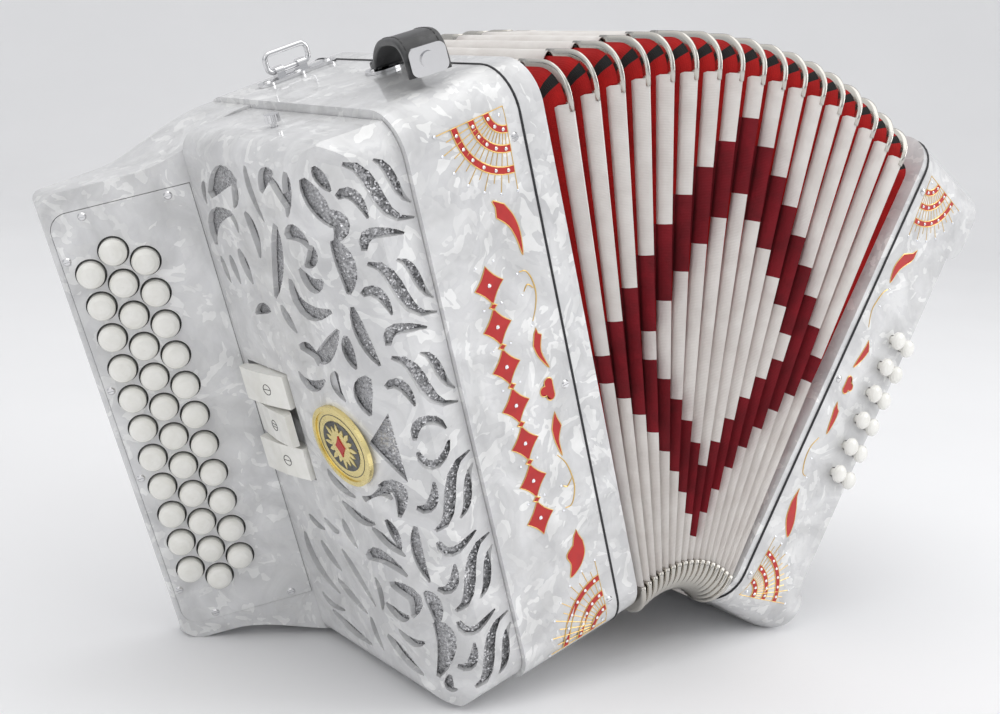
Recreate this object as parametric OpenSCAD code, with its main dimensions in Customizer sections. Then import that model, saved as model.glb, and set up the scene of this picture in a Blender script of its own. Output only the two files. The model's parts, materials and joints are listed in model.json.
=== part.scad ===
// Three-row button accordion standing on its lower edges with the bellows fanned open.
// X runs along the bellows (treble side -X, bass side +X), -Y is the front, +Z is up.
// Every sub-part is drawn in "closed" coordinates: the fold axis is the origin line along Y,
// and treble, folds and bass are then turned about it into the standing pose.

/* [Case] */
// Depth of both cases, front to back
case_d = 188; // [170:1:210]
// Height of both cases
case_h = 311; // [280:1:340]
// Height of the case bottom above the fold axis
case_z0 = 4; // [2:1:12]
// Outer corner radius seen along the bellows
case_r = 22; // [10:1:30]
// Case wall thickness
wall = 5; // [4:0.5:8]
// Slope of the treble case's top and bottom away from the bellows
taper = 2; // [0:0.1:8]
// Treble case face that carries the gasket
treble_in = -49.4; // [-60:0.1:-40]
// Treble case face that carries the grille cover
treble_out = -114; // [-130:1:-90]
// Bass case face that carries the gasket
bass_in = 39.5; // [35:0.5:50]
// Bass case face between the two shoulders
bass_out = 93.3; // [80:0.1:110]
// How far the top and bottom shoulders stand past that face
shoulder = 11; // [4:1:20]

/* [Bellows] */
// Number of folds
folds = 17; // [9:1:21]
// Spacing of the folds when the bellows is shut
fold_pitch = 3.8; // [3:0.1:5]
// Thickness of one fold
fold_t = 3.2; // [2:0.1:3.5]
// How far the top of a fold sits below the top of the cases
fold_drop = 8; // [0:0.5:10]
// Height of a fold
fold_h = 308; // [280:1:340]
// Width of a fold from its outer edge to its inner edge
fold_w = 22; // [15:1:30]
// Outer corner radius of a fold
fold_r = 18; // [6:1:24]
// Opening angle between the treble case and the bass case
fan = 48.2; // [20:0.1:60]
// Share of that angle taken by each fold
fold_share = 0.055; // [0.04:0.001:0.0555]
// Wall of the inner lining
lining_t = 1.2; // [0.8:0.1:3]

/* [Fingerboard] */
// Button spacing along a row
key_pitch = 17.5; // [16:0.1:20]
// Spacing between rows
row_pitch = 13.9; // [12:0.1:18]
// Turn of the fingerboard from the front face
board_turn = 27.7; // [0:0.1:45]
// Height of the top button of the outer row
key_z = 250; // [220:1:270]
// Radius of a treble button
key_r = 6.9; // [5:0.1:8]
// Radius of the hole a treble button moves in
key_hole_r = 7.9; // [6:0.1:9]
// How far a treble button can be pressed
key_travel = 3.5; // [2:0.5:5]

/* [Bass side] */
// Bass buttons in each column
bass_rows = 6; // [4:1:8]
// Bass button spacing along a column
bass_pitch = 18; // [14:0.5:22]
// Height of the lowest bass button
bass_z = 107; // [80:1:130]
// Radius of a bass button's knob
knob_r = 5.4; // [3:0.1:6]

/* [Stance] */
// Lean of the treble case away from upright
lean = 19.27; // [0:0.01:30]
// Shift that puts the middle of the whole part over the origin
stand_x = 33.21; // [-100:0.01:100]
// Shift that centres the part front to back
stand_y = 3.45; // [-20:0.01:20]
// Shift that puts the lowest edge on the floor
stand_z = 41.63; // [-50:0.01:50]

/* [Hidden] */
$fn = 64;
case_top = case_z0 + case_h;
case_mid = case_z0 + case_h / 2;
half_d = case_d / 2;
gap = 0.3;
fold_mid = (folds + 1) / 2;
frame_in = fold_pitch * (folds - fold_mid) + fold_t / 2 + 1.9;
gasket_t = 1;
board_x = -212;
board_y = 66;
board_face = 3.2;
plate_t = 3;
cover_x = -157;
cover_y = 40;
cover_t = 3;
cover_step = 1.5;
cover_top = case_top - cover_step - 85.6 * tan(taper);
pearl = [0.93, 0.93, 0.92];
black = [0.06, 0.06, 0.06];
chrome = [0.8, 0.8, 0.82];
wood = [0.75, 0.6, 0.4];
cream = [0.95, 0.94, 0.9];
deep_red = [0.65, 0.05, 0.08];
silver = [0.55, 0.55, 0.57];

// ---- poses ----
module stance(turn) {
  translate([stand_x, stand_y, stand_z])
    rotate([0, turn - lean, 0])
      children();
}

module on_treble() { stance(0) children(); }

module on_bass() { stance(fan) children(); }

module on_fold(i) { stance(fan * fold_share * i) children(); }

// Frame of the fingerboard: x runs from the outer row to the inner one, y into the board
module on_board() {
  translate([board_x, board_y, 0])
    rotate([0, 0, -board_turn])
      children();
}

// ---- 2D helpers ----
module rrect(w, h, r) {
  square([w - 2 * r, h], center = true);
  square([w, h - 2 * r], center = true);
  for (sx = [-1, 1], sy = [-1, 1])
    translate([sx * (w / 2 - r), sy * (h / 2 - r)])
      circle(r);
}

// Lays a 2D shape in the Y-Z plane and extrudes it from x0 to x1
module along_x(x0, x1) {
  translate([x0, 0, 0])
    rotate([90, 0, 90])
      linear_extrude(x1 - x0)
        children();
}

// Lays a 2D shape in the X-Z plane and extrudes it from y0 to y1
module along_y(y0, y1) {
  translate([0, y1, 0])
    rotate([90, 0, 0])
      linear_extrude(y1 - y0)
        children();
}

module case_profile(inset) {
  translate([0, case_mid])
    rrect(case_d - 2 * inset, case_h - 2 * inset, case_r - inset);
}

// Treble profile drawn in by i, with its top and bottom sloping in towards the fingerboard
module tapered(i, x1) {
  intersection() {
    translate([treble_in, 0, case_top]) rotate([0, -taper, 0]) translate([-treble_in, 0, -case_top])
      along_x(-260, 10) case_profile(i);
    translate([treble_in, 0, case_z0]) rotate([0, taper, 0]) translate([-treble_in, 0, -case_z0])
      along_x(-260, 10) case_profile(i);
    translate([-300, -200, -50]) cube([x1 + 300, 400, 450]);
  }
}

// ---- treble case ----
function ease(t) = let (c = max(0, min(1, t))) c * c * (3 - 2 * c);
function wing_top(x) = 294 + 16 * ease((x + 182) / 64);
function wing_bottom(x) = 31 - 22 * ease((x + 200) / 66);
wing_xs = [-205, for (x = [-196:6:-118]) x, -110];
wing_back = [for (a = [0:15:90]) [-212 - 9 * sin(a), half_d - 9 + 9 * cos(a)]];

module wing_plan() {
  polygon(concat(
    [[-156.3, 40.4], [treble_out + 1, 40.4], [treble_out + 1, half_d]],
    wing_back,
    [[-222.6, 79.8], [-223.4, 77.4], [-222.8, 75.6]]
  ));
}

// Rounded outer corners of the fingerboard, bottom then top
wing_low_corner = [for (a = [0:15:90]) [-213 - 11 * cos(a), 42 - 11 * sin(a)]];
wing_high_corner = [for (a = [90:-15:0]) [-213 - 11 * cos(a), 283 + 11 * sin(a)]];

module wing_side() {
  polygon(concat(
    wing_low_corner,
    [for (x = wing_xs) [x, wing_bottom(x)]],
    [for (i = [len(wing_xs) - 1:-1:0]) [wing_xs[i], wing_top(wing_xs[i])]],
    wing_high_corner
  ));
}

module wing() {
  intersection() {
    linear_extrude(340) wing_plan();
    along_y(20, 120) wing_side();
    tapered(0, -100);
  }
}

module treble_case() {
  color(pearl) on_treble() difference() {
    union() {
      difference() {
        tapered(0, treble_in);
        translate([-300, -200, -50]) cube([treble_out + 300, 400, 450]);
      }
      wing();
    }
    difference() {
      tapered(wall, treble_in + 1);
      translate([-300, -200, -50]) cube([treble_out + wall + 300, 400, 450]);
    }
    on_board() {
      translate([0, 0, 162]) rotate([-90, 0, 0]) linear_extrude(board_face + plate_t) plate_shape(gap);
      translate([-8.6, board_face, 56]) cube([48, 20, 216]);
    }
    screw_holes();
  }
}

// Holes for the screws that enter the case
module screw_holes() {
  slope_top(bracket_x, bracket_y)
    for (x = bracket_screws) translate([x, 0, -5]) cylinder(r = 1.3, h = 10);
  for (z = screw_zs, s = [-1, 1])
    translate([screw_x, s * half_d, z]) rotate([90, 0, 0]) cylinder(r = 1.3, h = 8, center = true);
}

// ---- fingerboard ----
function row_x(r) = r * row_pitch;
function row_n(r) = r == 1 ? 12 : 11;
function row_z(r, k) = key_z + (r == 1 ? key_pitch / 2 : 0) - k * key_pitch;

module fingerboard_plate() {
  color(pearl) on_treble() on_board() difference() {
    translate([0, board_face - 0.2, 162]) rotate([-90, 0, 0]) linear_extrude(plate_t) plate_shape(0);
    for (r = [0:2], k = [0:row_n(r) - 1])
      translate([row_x(r), -5, row_z(r, k)]) rotate([-90, 0, 0]) cylinder(r = key_hole_r, h = 20);
    for (p = plate_screws)
      translate([p[0], -5, p[1]]) rotate([-90, 0, 0]) cylinder(r = 1.2, h = 20);
  }
}

// Outline of the inset plate, grown by g and square at the end under the cover
module plate_shape(g) {
  translate([23.7, 0]) rrect(72 + 2 * g, 242 + 2 * g, 9.5 + g);
  translate([30, -121 - g]) square([29.7 + g, 242 + 2 * g]);
}

plate_screws = [
  [4.6, 279.5], [47.8, 279.5], [-9.4, 259], [-9.4, 187], [-9.4, 135], [-9.4, 64],
  [5.4, 44.2], [48.8, 44.2]
];

// One button: domed cap in front of the plate and a stem that runs to the action behind it
module treble_button(z) {
  translate([0, 0, z]) rotate([-90, 0, 0]) rotate_extrude() polygon([
    [0, -3.4], [2.5, -3.2], [4.6, -2.6], [6.1, -1.5], [key_r, -0.2], [key_r, 7],
    [2.2, 7], [2.2, 16], [0, 16]
  ]);
}

module button_row(r) {
  color(cream) on_treble() on_board() translate([row_x(r), 0, 0])
    for (k = [0:row_n(r) - 1]) treble_button(row_z(r, k));
}

// ---- grille cover ----
module cover_plan(i) {
  r = 37 - i;
  translate([cover_x + i + r, -half_d + i + r]) circle(r);
  translate([cover_x + i, -half_d + i + r]) square([200, cover_y + half_d - 2 * i - r]);
  translate([cover_x + i + r, -half_d + i]) square([200, cover_y + half_d - 2 * i]);
}

// Rounded outer edges of the cover at its top and bottom
module cover_side(i) {
  translate([cover_x + 150, case_mid]) rrect(300 - 2 * i, 298 - 2 * i, 12 - i);
}

// The cover's outer form drawn in by i, ending at x1
module cover_form(i, x1) {
  intersection() {
    linear_extrude(400) cover_plan(i);
    tapered(i + cover_step, x1);
    translate([0, cover_step, 0]) tapered(i + cover_step, x1);
    along_y(-120, 60) cover_side(i);
  }
}

// Point at t on the curve that the control points p set
function bent(p, t) = len(p) == 1 ? p[0]
  : bent([for (i = [0:len(p) - 2]) p[i] * (1 - t) + p[i + 1] * t], t);

// Curve that starts at a, passes m half way and ends at c
function through(a, m, c) = [a, 1.6 * m - 0.3 * (a + c), c];

// Leaf along a curve, half width w, widest towards its start when lead is below 1
function leaf(p, w, lead = 0.8) = let (
  n = 7,
  line = [for (i = [0:n]) bent(p, i / n)],
  edge = function (i, s) let (
    d = line[min(i + 1, n)] - line[max(i - 1, 0)],
    q = s * w * pow(sin(180 * pow((i + 0.3) / (n + 0.6), lead)), 0.7) / norm(d)
  ) line[i] + q * [-d[1], d[0]]
) concat([for (i = [0:n]) edge(i, 1)], [for (i = [n:-1:0]) edge(i, -1)]);

// Leaves on the flat front as start, middle, end and half width, in (y, z)
face_leaves = [
  [[23, 278], [2, 291], [-11, 288], 5.8], [[-8, 290], [-6, 281], [0, 274], 3],
  [[25, 285], [29, 279], [29, 273], 2.2], [[-24, 297], [-22, 285], [-28, 270], 2.8],
  [[-33, 285], [-40, 294], [-50, 296], 3.8], [[-43, 294], [-50, 288], [-53, 279], 3.6],
  [[-61, 297], [-58, 287], [-52, 275], 3.6], [[32, 251], [28, 266], [4, 271], 4.8],
  [[8, 270], [3, 268], [3, 261], 2.4], [[-10, 273], [-15, 264], [-13, 250], 4.2],
  [[20, 247], [19, 240], [17, 232], 3.2], [[31, 245], [30, 238], [28, 231], 2.6],
  [[8, 252], [6, 243], [3, 234], 4.2], [[-38, 270], [-31, 251], [-17, 230], 5.2],
  [[-45, 265], [-57, 269], [-64, 261], 4.2], [[-65, 263], [-64, 256], [-56, 252], 3.4],
  [[-38, 243], [-41, 227], [-67, 231], 5.2], [[-50, 250], [-57, 242], [-67, 246], 4.6],
  [[-21, 227], [-24, 220], [-30, 214], 3.6], [[-28, 206], [-41, 207], [-42, 199], 3.8],
  [[-41, 202], [-56, 209], [-68, 222], 4.6], [[-19, 191], [-28, 184], [-45, 192], 3.4],
  [[-21, 137], [-26, 130], [-43, 127], 3.4], [[-51, 128], [-64, 140], [-73, 133], 4.6],
  [[-27, 120], [-40, 114], [-56, 116], 3.6], [[-51, 112], [-62, 108], [-72, 101], 3.4],
  [[-22, 108], [-24, 100], [-30, 93], 3.6], [[28, 84], [26, 64], [6, 52], 4.2],
  [[11, 84], [5, 76], [-4, 70], 3.6], [[-11, 86], [-21, 74], [-32, 58], 3.2],
  [[-37, 90], [-56, 98], [-70, 89], 4.6], [[4, 62], [-8, 55], [-20, 49], 3.6],
  [[-54, 80], [-72, 79], [-66, 64], 4.8], [[-44, 65], [-54, 61], [-64, 64], 3.8],
  [[22, 35], [5, 29], [-15, 27], 3.6], [[-23, 48], [-23, 38], [-27, 28], 2.8],
  [[-36, 42], [-48, 34], [-63, 28], 5], [[28, 45], [23, 39], [6, 41], 2.6],
  [[16, 99], [12, 95], [2, 94], 2.8], [[-40, 79], [-42, 70], [-38, 58], 2.8],
  [[-8, 222], [0, 222], [10, 217], 3], [[-50, 51], [-60, 47], [-70, 50], 3],
  [[-1, 102], [-8, 97], [-14, 98], 2.6]
];

// Leaves on the rounded corner, in (distance from its middle towards the front face, z)
corner_leaves = [
  [[15, 294], [11, 282], [6, 271], 5], [[9, 278], [1, 272], [7, 264], 4.4],
  [[8, 265], [4, 252], [7, 239], 4.8], [[8, 299], [6, 293], [3, 287], 3],
  [[7, 233], [6, 217], [1, 203], 3.2], [[14, 219], [15, 210], [13, 202], 3.2],
  [[25, 199], [29, 191], [24, 184], 3.2], [[8, 198], [14, 189], [12, 178], 5],
  [[18, 139], [6, 140], [11, 123], 4.2], [[19, 121], [16, 114], [15, 104], 2.8],
  [[4, 118], [7, 102], [4, 86], 3], [[8, 81], [4, 73], [6, 61], 4],
  [[7, 63], [2, 51], [13, 29], 5.2]
];

module leaves(list) {
  for (l = list) polygon(leaf(through(l[0], l[1], l[2]), l[3], 0.85));
}

module foliage() {
  difference() {
    leaves(face_leaves);
    translate([-19, 108]) square([60, 96]);
    translate(badge_at) circle(27.5);
  }
}

// Waves and beans down the corner, in the same coordinates, above the middle height
module waves() {
  for (k = [0:2]) translate([0, 46 * k]) {
    polygon(leaf([[-5, 206], [-19, 204], [-11, 175], [-27, 173]], 2.7, 0.8));
    polygon(leaf([[-17, 204], [-24, 200], [-21, 186], [-27, 180]], 1.9, 0.9));
    polygon(leaf([[1, 192], [-6, 197], [-9, 188], [-10, 180]], 2.8, 0.7));
    if (k > 0) polygon(leaf([[-5, 166], [-6, 178], [-15, 172], [-22, 168]], 2.8, 0.7));
    else polygon(leaf([[-6, 163], [-7, 175], [-17, 174], [-20, 163]], 2.6, 0.8));
  }
}

module corner_cuts() {
  leaves(corner_leaves);
  polygon([[3, 179], [17, 163], [2, 142]]);
  waves();
  translate([0, 320]) mirror([0, 1]) waves();
  polygon(leaf([[6, 31], [11, 20], [4, 22]], 2.6, 0.8));
}

module thumbscrew_hole(r) {
  translate([thumb_x, thumb_y, cover_top - 10]) cylinder(r = r, h = 14);
}

module grille_cover() {
  color(pearl) on_treble() {
    difference() {
      cover_form(0, treble_out - gap);
      cover_form(cover_t, treble_out + 5);
      along_x(cover_x - 5, cover_x + 8) foliage();
      translate([cover_x + 37, -half_d + 37, 0]) rotate([0, 0, 45])
        along_x(-50, -20) corner_cuts();
      switch_well(0, 12);
      thumbscrew_hole(1.8);
    }
    switch_tray();
  }
}

module grille_cloth() {
  color(silver) on_treble() difference() {
    cover_form(cover_t + gap, treble_out - gap);
    cover_form(cover_t + gap + 0.9, treble_out + 5);
    switch_well(1.6, 20);
    thumbscrew_hole(3);
  }
}

badge_at = [-46.5, 157.5];

function oval(a, b) = [for (t = [0:6:354]) [a * cos(t), b * sin(t)]];

module badge() {
  color([0.8, 0.65, 0.25]) on_treble() translate([cover_x, badge_at[0], badge_at[1]]) {
    along_x(-1.4, -0.1) polygon(oval(24.5, 21));
    difference() {
      along_x(-2.4, -1.4) polygon(oval(24.5, 21));
      along_x(-3, -1) polygon(oval(22, 18.5));
    }
    along_x(-2.2, -1.3) polygon(oval(8, 8));
  }
}

// ---- register switches ----
switch_y = 15.5;
switch_l = 38;
switch_w = 18.4;
switch_zs = [176.5, 156, 135.5];
switch_tilt = 6;

switch_pin = [1.5, 1.0];

// Opening for the rockers, grown by g and reaching d deep from 4 in front of the cover
module switch_well(g, d) {
  translate([cover_x - 4, switch_y - 20.5 - g, switch_zs[2] - 10 - g])
    cube([d, 41 + 2 * g, switch_zs[0] - switch_zs[2] + 20 + 2 * g]);
}

// Tray behind the opening, with the steel pin the rockers turn on
module switch_tray() {
  difference() {
    intersection() {
      switch_well(1.2, 13.2);
      translate([cover_x + 2, -100, 0]) cube([20, 200, 400]);
    }
    switch_well(0, 12);
  }
  translate([cover_x + switch_pin[0], switch_y, switch_zs[2] - 10.2])
    cylinder(r = switch_pin[1], h = switch_zs[0] - switch_zs[2] + 20.4);
}

// A rocker on a pin along Z; its outer face is a shallow roof
module register_switch(i) {
  color(cream) on_treble()
    translate([cover_x + switch_pin[0], switch_y, switch_zs[i] - switch_w / 2])
      rotate([0, 0, i == 1 ? -switch_tilt : switch_tilt])
        difference() {
          linear_extrude(switch_w) polygon([
            [-6.1, -switch_l / 2], [-6.9, -switch_l / 4], [-7.3, 0], [-6.9, switch_l / 4],
            [-6.1, switch_l / 2], [-2.3, switch_l / 2], [1.6, 4], [2.4, 0], [1.6, -4],
            [-2.3, -switch_l / 2]
          ]);
          translate([0, 0, -1]) cylinder(r = switch_pin[1] + 0.06, h = switch_w + 2);
        }
}

// ---- plates, reeds, gasket and frame on the treble side ----
module ring_profile(w) {
  difference() {
    case_profile(0.4);
    translate([0, case_mid]) rrect(case_d - 2 * w, case_h - 2 * w, 8);
  }
}

module treble_gasket() {
  color(black) on_treble() along_x(treble_in, treble_in + gasket_t) ring_profile(9);
}

module treble_frame() {
  color(pearl) on_treble() along_x(treble_in + gasket_t, -frame_in) ring_profile(24);
}

module treble_soundboard() {
  color(wood) on_treble() difference() {
    along_x(treble_in - 7, treble_in - 1) case_profile(wall + gap);
    for (b = [-1:1], k = [0:9])
      translate([treble_in - 10, 40 * b - 6, 68 + 20 * k]) cube([12, 12, 8]);
  }
}

// Three reed blocks, each a tapered block with chambers on both faces
module reed_block(l) {
  difference() {
    translate([-8, -13, 0]) cube([34, 26, l]);
    for (k = [0:floor(l / 14) - 1], s = [-1, 1])
      translate([-4, s * 9 - 5, 5 + 14 * k]) cube([26, 10, 9]);
  }
}

module treble_reeds() {
  color(wood) on_treble() for (b = [-1:1])
    translate([treble_in + 7.2, 40 * b, 60]) reed_block(204);
}

screw_zs = [27.3, 155.6, 283];
screw_x = -54.4;

module screw(r, h) {
  translate([0, 0, -h]) cylinder(r = r * 0.45, h = h);
  difference() {
    cylinder(r1 = r, r2 = r * 0.7, h = 0.8);
    translate([-r, -0.25, 0.4]) cube([2 * r, 0.5, 1]);
  }
}

module treble_screws() {
  color(chrome) on_treble() {
    for (z = screw_zs, s = [-1, 1])
      translate([screw_x, s * half_d, z]) rotate([-s * 90, 0, 0]) screw(2.3, 3);
    slope_top(bracket_x, bracket_y)
      for (x = bracket_screws) translate([x, 0, 1.65]) screw(2.3, 4.5);
    slope_top(strap_x, strap_y)
      for (x = strap_screws) translate([x, 0, 1.45]) screw(2.3, 1.2);
    on_board() for (p = plate_screws)
      translate([p[0], board_face - 0.2, p[1]]) rotate([90, 0, 0]) screw(2.2, 2.6);
  }
}

// Knurled thumbscrew that holds the cover at its top
thumb_x = -135;
thumb_y = -20;

module thumbscrew() {
  color(chrome) on_treble() translate([thumb_x, thumb_y, cover_top]) {
    translate([0, 0, -6]) cylinder(r = 1.5, h = 6.5);
    translate([0, 0, 0.3]) difference() {
      cylinder(r = 3.6, h = 3.8);
      for (a = [0:30:330])
        rotate([0, 0, a]) translate([3.8, 0, -1]) cylinder(r = 0.5, h = 6, $fn = 12);
    }
  }
}

// Seat on the sloping top of the treble case, 0.1 above it
module slope_top(x, y) {
  translate([treble_in, y, case_top]) rotate([0, -taper, 0])
    translate([x - treble_in, 0, 0.1]) children();
}

// ---- strap bracket ----
bracket_x = -74.5;
bracket_y = 56;
bracket_screws = [-19, 0, 19];
bail_y = 7.2;
bail_z = 3.9;
bail_half = 13;
bail_h = 9.8;
wire_r = 1.5;
bail_bend = 3.5;

// Plate with two knuckles that hold the bail's lower rod
module bracket_plate() {
  color(chrome) on_treble() slope_top(bracket_x, bracket_y) difference() {
    union() {
      linear_extrude(1.6) {
        square([38, 8], center = true);
        for (x = bracket_screws) translate([x, 0]) circle(5);
        translate([-9.5, 0]) square([19, bail_y + 2.6]);
      }
      for (x = [-7, 7])
        translate([x - 2.5, bail_y, bail_z]) rotate([0, 90, 0]) cylinder(r = 2.7, h = 5);
      for (x = [-7, 7])
        translate([x - 2.5, bail_y - 2.7, 1]) cube([5, 5.4, bail_z - 1]);
    }
    translate([-15, bail_y, bail_z]) rotate([0, 90, 0]) cylinder(r = wire_r + 0.06, h = 30);
    for (x = bracket_screws) translate([x, 0, -1]) cylinder(r = 1.4, h = 4);
  }
}

// D-shaped wire bail that the shoulder strap hooks onto
module bail() {
  span = 2 * (bail_half - bail_bend);
  rise = bail_h - 2 * bail_bend;
  color(chrome) on_treble()
    slope_top(bracket_x, bracket_y) translate([0, bail_y, bail_z]) {
      for (z = [0, bail_h])
        translate([-span / 2, 0, z]) rotate([0, 90, 0]) cylinder(r = wire_r, h = span);
      for (s = [-1, 1])
        translate([s * bail_half, 0, bail_bend]) cylinder(r = wire_r, h = rise);
      for (c = [[1, 1, 0], [-1, 1, 90], [-1, 0, 180], [1, 0, 270]])
        translate([c[0] * span / 2, 0, c[1] == 1 ? bail_h - bail_bend : bail_bend])
          rotate([90, 0, 0]) rotate([0, 0, c[2]])
            rotate_extrude(angle = 90) translate([bail_bend, 0]) circle(wire_r);
    }
}

// ---- bellows strap on the top of the treble case ----
strap_turn = 18;
strap_x = -61;
strap_y = -8;
strap_screws = [-6.5, 0.5];

module strap_plate() {
  color(chrome) on_treble() slope_top(strap_x, strap_y) difference() {
    linear_extrude(1.4) polygon(oval(11, 8));
    for (x = strap_screws) translate([x, 0, -1]) cylinder(r = 1.4, h = 4);
  }
}

// Side view of the leather: up from the plate, over towards the front, down at the free end
strap_line = [
  [0, 1.2], [5, 1.4], [9, 3], [13, 7], [20, 11.5], [29, 15], [40, 17], [50, 18],
  [58, 17.8], [63, 15.4], [65.4, 11], [66, 4.5]
];

function thick_line(p, t) = concat(
  p,
  [for (i = [len(p) - 1:-1:0]) let (
    a = p[max(i - 1, 0)],
    b = p[min(i + 1, len(p) - 1)],
    d = norm(b - a)
  ) p[i] + t * [-(b[1] - a[1]), b[0] - a[0]] / d]
);

module on_strap() {
  slope_top(-57, -8) translate([0, 0, 0.5]) rotate([0, 0, -90 - strap_turn]) children();
}

module strap_leather() {
  color(black) on_treble() difference() {
    on_strap() along_y(-10.5, 10.5) polygon(thick_line(strap_line, 3.6));
    slope_top(strap_x, strap_y)
      for (x = strap_screws) translate([x, 0, -1]) cylinder(r = 2.7, h = 3.9);
  }
}

module strap_snap() {
  color(chrome) on_treble() on_strap() translate([69.8, 0, 11.4]) {
    along_x(0, 1.4) rrect(18, 13.5, 3.5);
    along_x(1.4, 3) circle(4);
  }
}

// ---- bellows ----
module fold(i) {
  color(cream) on_fold(i) along_x(fold_pitch * (i - fold_mid) - fold_t / 2,
                                  fold_pitch * (i - fold_mid) + fold_t / 2)
    difference() {
      translate([0, fold_z]) rrect(case_d, fold_h, fold_r);
      translate([0, fold_z]) rrect(case_d - 2 * fold_w, fold_h - 2 * fold_w, 6);
    }
}

fold_z = case_top - fold_drop - fold_h / 2;
lining_top = case_top - fold_drop - fold_w - 2;
lining_low = 44;
lining_y = half_d - fold_w - 1.5;

// Point p of the closed bellows turned about the fold axis by a
function turned(p, a) = [p[0] * cos(a) + p[1] * sin(a), p[1] * cos(a) - p[0] * sin(a)];
lining_steps = [for (k = [0:12]) fan * k / 12];

// Red cloth tube inside the folds: straight to the fold axis, round it, and straight again
module lining_form(i) {
  end = frame_in - gap + i;
  high = lining_top - i;
  low = lining_low + i;
  along_y(-lining_y + i, lining_y - i) polygon(concat(
    [[-end, low], [-end, high]],
    [for (a = lining_steps) turned([0, high], a)],
    [turned([end, high], fan), turned([end, low], fan)],
    [for (k = [12:-1:0]) turned([0, low], lining_steps[k])]
  ));
}

module lining() {
  color(deep_red) on_treble() difference() {
    lining_form(0);
    lining_form(lining_t);
  }
}

// ---- bass side ----
module bass_gasket() {
  color(black) on_bass() along_x(bass_in - gasket_t, bass_in) ring_profile(9);
}

module bass_frame() {
  color(pearl) on_bass() along_x(frame_in, bass_in - gasket_t) ring_profile(24);
}

module bass_side() {
  translate([bass_in, case_z0]) square([bass_out - bass_in, case_h]);
  translate([(bass_in + bass_out + shoulder) / 2, case_top - 26])
    rrect(bass_out + shoulder - bass_in, 52, 13);
  translate([bass_in, case_top - 52]) square([30, 52]);
  translate([(bass_in + bass_out + shoulder - 3) / 2, case_z0 + 16])
    rrect(bass_out + shoulder - 3 - bass_in, 32, 12);
  translate([bass_in, case_z0]) square([30, 32]);
}

module bass_case() {
  color(pearl) on_bass() difference() {
    intersection() {
      along_x(bass_in, bass_out + shoulder) case_profile(0);
      along_y(-half_d, half_d) bass_side();
    }
    along_x(bass_in - 1, bass_out - wall) case_profile(wall);
    translate([bass_x(1) - 4, -half_d + wall - 1, bass_z - 6])
      cube([7.4, 12, bass_pitch * (bass_rows - 1) + 12]);
    for (c = [0, 1], k = [0:bass_rows - 1])
      translate([bass_x(c), -half_d - 1, bass_z + k * bass_pitch])
        rotate([-90, 0, 0]) cylinder(r = 3, h = wall + 2);
    along_x(bass_out - 10, bass_out + 1) translate([0, case_mid - 4]) rrect(140, 190, 8);
  }
}

module bass_cover() {
  color(silver) on_bass() difference() {
    along_x(bass_out - 3, bass_out - 1) translate([0, case_mid - 4]) rrect(139.4, 189.4, 7.7);
    for (s = [-1, 1], k = [0:8])
      translate([bass_out - 4, s * 50 - 9, 74 + 18 * k]) cube([4, 18, 4]);
    translate([bass_out - 5, air_at[0], air_at[1]]) rotate([0, 90, 0]) cylinder(r = 7.2, h = 8);
  }
}

module bass_soundboard() {
  color(wood) on_bass() difference() {
    along_x(bass_in + 1, bass_in + 7) case_profile(wall + gap);
    for (b = [-1, 1], k = [0:7])
      translate([bass_in - 1, 34 * b - 6, 80 + 20 * k]) cube([12, 12, 8]);
  }
}

module bass_reeds() {
  color(wood) on_bass() for (b = [-1, 1])
    translate([bass_in + 1 - 26.5, 34 * b, 72]) reed_block(176);
}

function bass_x(c) = 76 + 11.4 * c;

module bass_button(c, k) {
  color(cream) on_bass() translate([bass_x(c), -half_d, bass_z + k * bass_pitch])
    rotate([90, 0, 0]) rotate_extrude() polygon([
      [0, -12], [2.4, -12], [2.4, 3.4], [knob_r, 3.9], [knob_r, 5.6], [4.4, 6.8], [2.4, 7.5],
      [0, 7.7]
    ]);
}

air_at = [49, 237];

module air_button() {
  color(cream) on_bass() translate([bass_out - 6, air_at[0], air_at[1]]) rotate([0, 90, 0])
    rotate_extrude() polygon([
      [0, -8], [3, -8], [3, 0], [6.8, 0], [6.8, 8], [5.4, 9], [0, 9.4]
    ]);
}

strap_arc = [for (i = [0:14]) let (t = i / 14)
  [bass_out + gap + 17 * pow(sin(180 * t), 0.8), 46 + 214 * t]];

module bass_strap() {
  color(black) on_bass() along_y(-32, 32) polygon(thick_line(strap_arc, -3.2));
}

treble_case();
fingerboard_plate();
grille_cover();
grille_cloth();
badge();
button_row(0);  // buttons_outer
button_row(1);  // buttons_middle
button_row(2);  // buttons_inner
register_switch(0);  // switch_1
register_switch(1);  // switch_2
register_switch(2);  // switch_3
treble_soundboard();
treble_reeds();
treble_gasket();
treble_frame();
treble_screws();
thumbscrew();
bracket_plate();
bail();
strap_plate();
strap_leather();
strap_snap();
lining();
fold(1);  // fold_01
fold(2);  // fold_02
fold(3);  // fold_03
fold(4);  // fold_04
fold(5);  // fold_05
fold(6);  // fold_06
fold(7);  // fold_07
fold(8);  // fold_08
fold(9);  // fold_09
fold(10);  // fold_10
fold(11);  // fold_11
fold(12);  // fold_12
fold(13);  // fold_13
fold(14);  // fold_14
fold(15);  // fold_15
fold(16);  // fold_16
fold(17);  // fold_17
bass_frame();
bass_gasket();
bass_case();
bass_cover();
bass_soundboard();
bass_reeds();
bass_strap();
air_button();
bass_button(0, 0);  // bass_a1
bass_button(0, 1);  // bass_a2
bass_button(0, 2);  // bass_a3
bass_button(0, 3);  // bass_a4
bass_button(0, 4);  // bass_a5
bass_button(0, 5);  // bass_a6
bass_button(1, 0);  // bass_b1
bass_button(1, 1);  // bass_b2
bass_button(1, 2);  // bass_b3
bass_button(1, 3);  // bass_b4
bass_button(1, 4);  // bass_b5
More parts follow.
